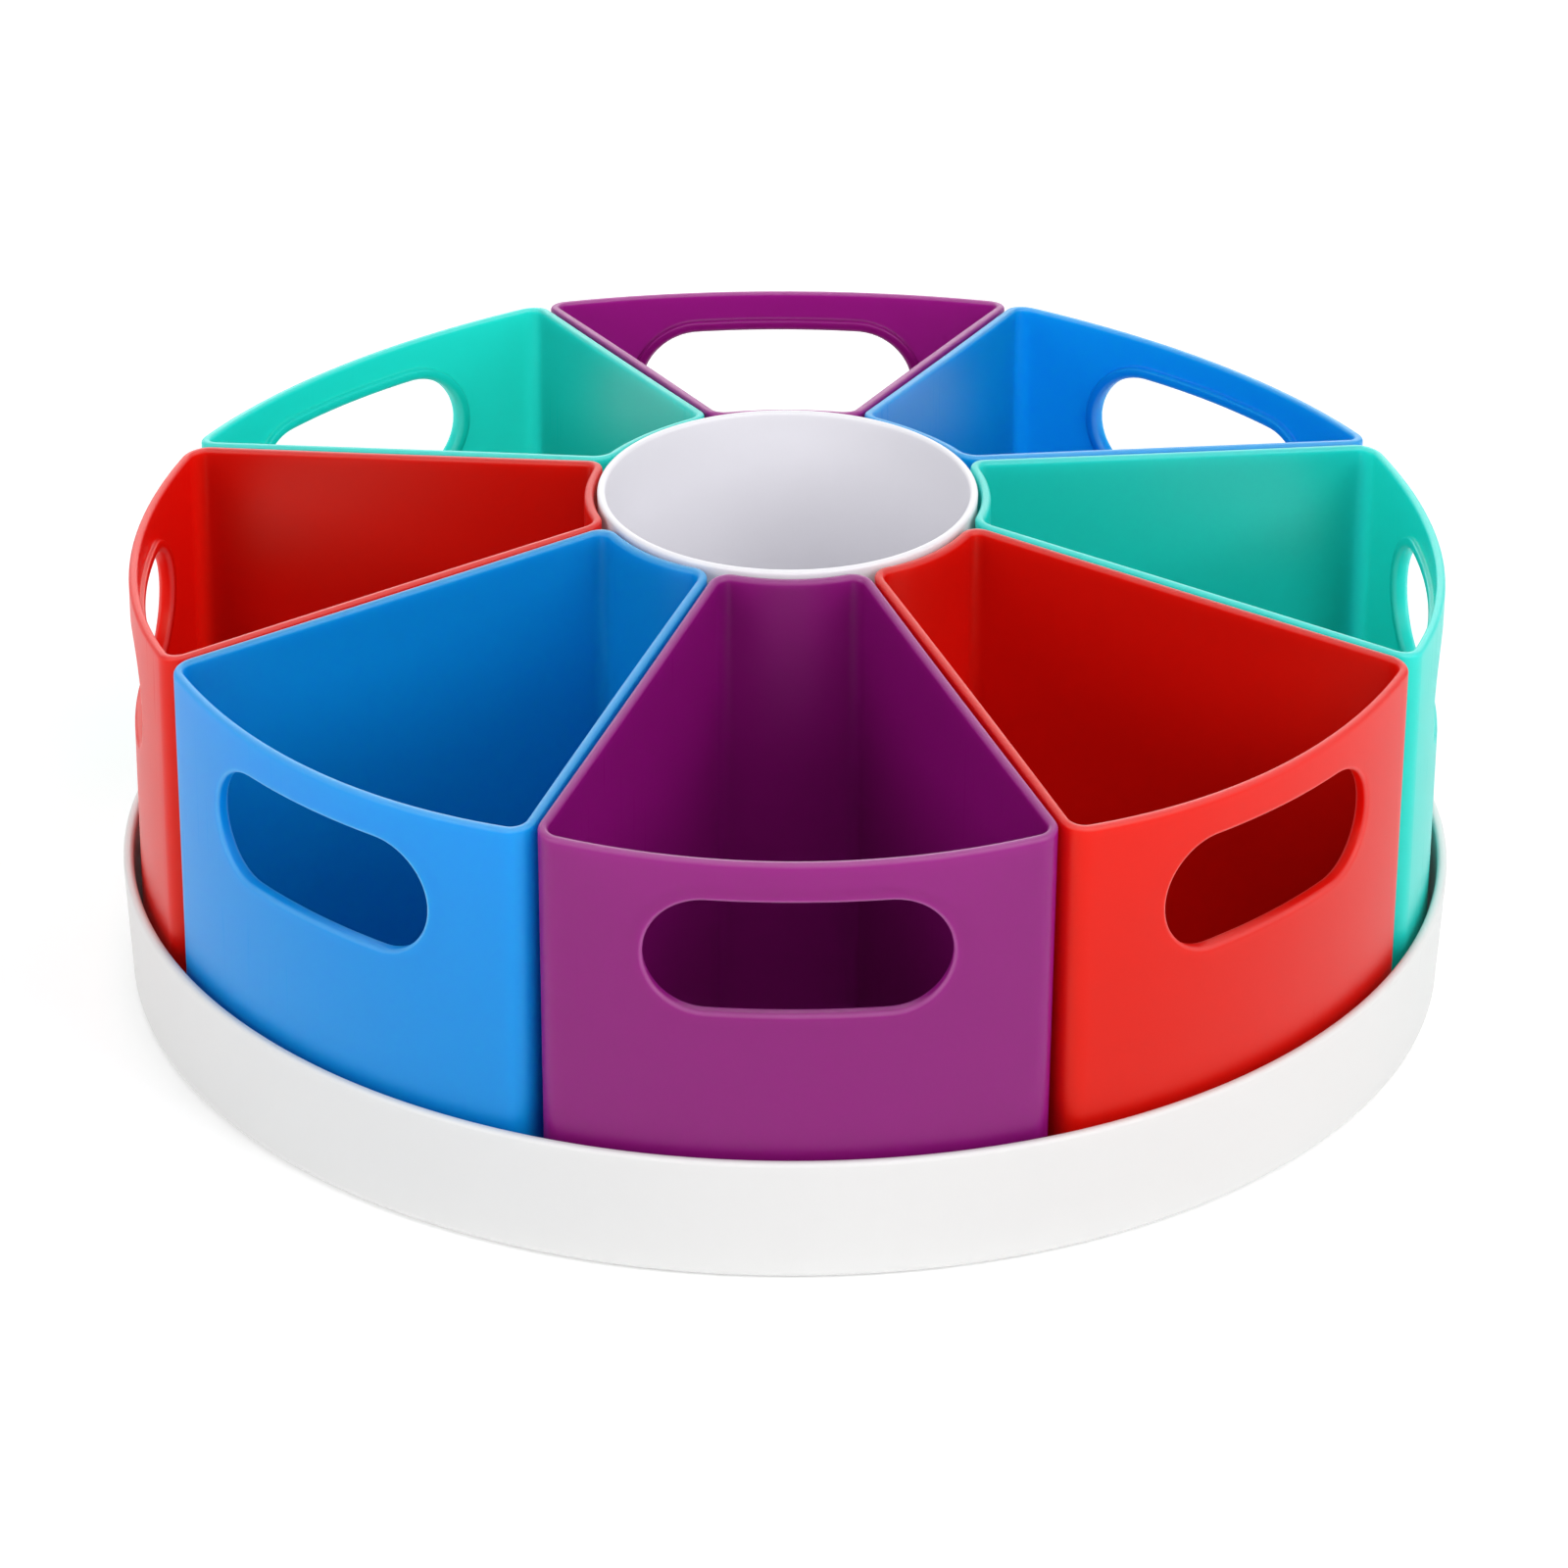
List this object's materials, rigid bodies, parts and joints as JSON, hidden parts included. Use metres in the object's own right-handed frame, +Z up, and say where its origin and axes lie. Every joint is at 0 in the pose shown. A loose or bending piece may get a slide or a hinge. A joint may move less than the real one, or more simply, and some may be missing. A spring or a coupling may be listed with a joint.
{
  "type": "desk organizer",
  "caption": "Round desk organizer: a low tray holding lift-out wedge bins, each with a finger slot in its curved front wall, round a centre cup.",
  "frame": {"origin": "centre of the object on the surface that its feet stand on", "axes": "+Z up along the cup's axis; -Y towards the front bin's finger slot; +X to the right seen from the front"},
  "size_m": [0.3032, 0.3032, 0.1166],
  "materials": {
    "purple_plastic": "satin moulded polypropylene, purple",
    "red_plastic": "satin moulded polypropylene, red",
    "teal_plastic": "satin moulded polypropylene, teal",
    "blue_plastic": "satin moulded polypropylene, blue",
    "white_plastic": "satin moulded polypropylene, white",
    "foot_rubber": "matt grey non-slip rubber"
  },
  "bodies": {
    "tray": {"tray": "white_plastic", "rubber_foot_right": "foot_rubber", "rubber_foot_back": "foot_rubber", "rubber_foot_left": "foot_rubber", "rubber_foot_front": "foot_rubber"},
    "front_bin": {"purple_bin_front": "purple_plastic"},
    "front_right_bin": {"red_bin_front_right": "red_plastic"},
    "right_bin": {"teal_bin_right": "teal_plastic"},
    "back_right_bin": {"blue_bin_back_right": "blue_plastic"},
    "back_bin": {"purple_bin_back": "purple_plastic"},
    "back_left_bin": {"teal_bin_back_left": "teal_plastic"},
    "left_bin": {"red_bin_left": "red_plastic"},
    "front_left_bin": {"blue_bin_front_left": "blue_plastic"},
    "cup": {"center_cup": "white_plastic"}
  },
  "joints": [
    {"name": "front_bin_lift", "type": "slide", "parent": "tray", "child": "front_bin", "axis": [0, 0, 1], "range_m": [0, 0.12]},
    {"name": "front_right_bin_lift", "type": "slide", "parent": "tray", "child": "front_right_bin", "axis": [0, 0, 1], "range_m": [0, 0.12]},
    {"name": "right_bin_lift", "type": "slide", "parent": "tray", "child": "right_bin", "axis": [0, 0, 1], "range_m": [0, 0.12]},
    {"name": "back_right_bin_lift", "type": "slide", "parent": "tray", "child": "back_right_bin", "axis": [0, 0, 1], "range_m": [0, 0.12]},
    {"name": "back_bin_lift", "type": "slide", "parent": "tray", "child": "back_bin", "axis": [0, 0, 1], "range_m": [0, 0.12]},
    {"name": "back_left_bin_lift", "type": "slide", "parent": "tray", "child": "back_left_bin", "axis": [0, 0, 1], "range_m": [0, 0.12]},
    {"name": "left_bin_lift", "type": "slide", "parent": "tray", "child": "left_bin", "axis": [0, 0, 1], "range_m": [0, 0.12]},
    {"name": "front_left_bin_lift", "type": "slide", "parent": "tray", "child": "front_left_bin", "axis": [0, 0, 1], "range_m": [0, 0.12]},
    {"name": "cup_lift", "type": "slide", "parent": "tray", "child": "cup", "axis": [0, 0, 1], "range_m": [0, 0.12]}
  ]
}
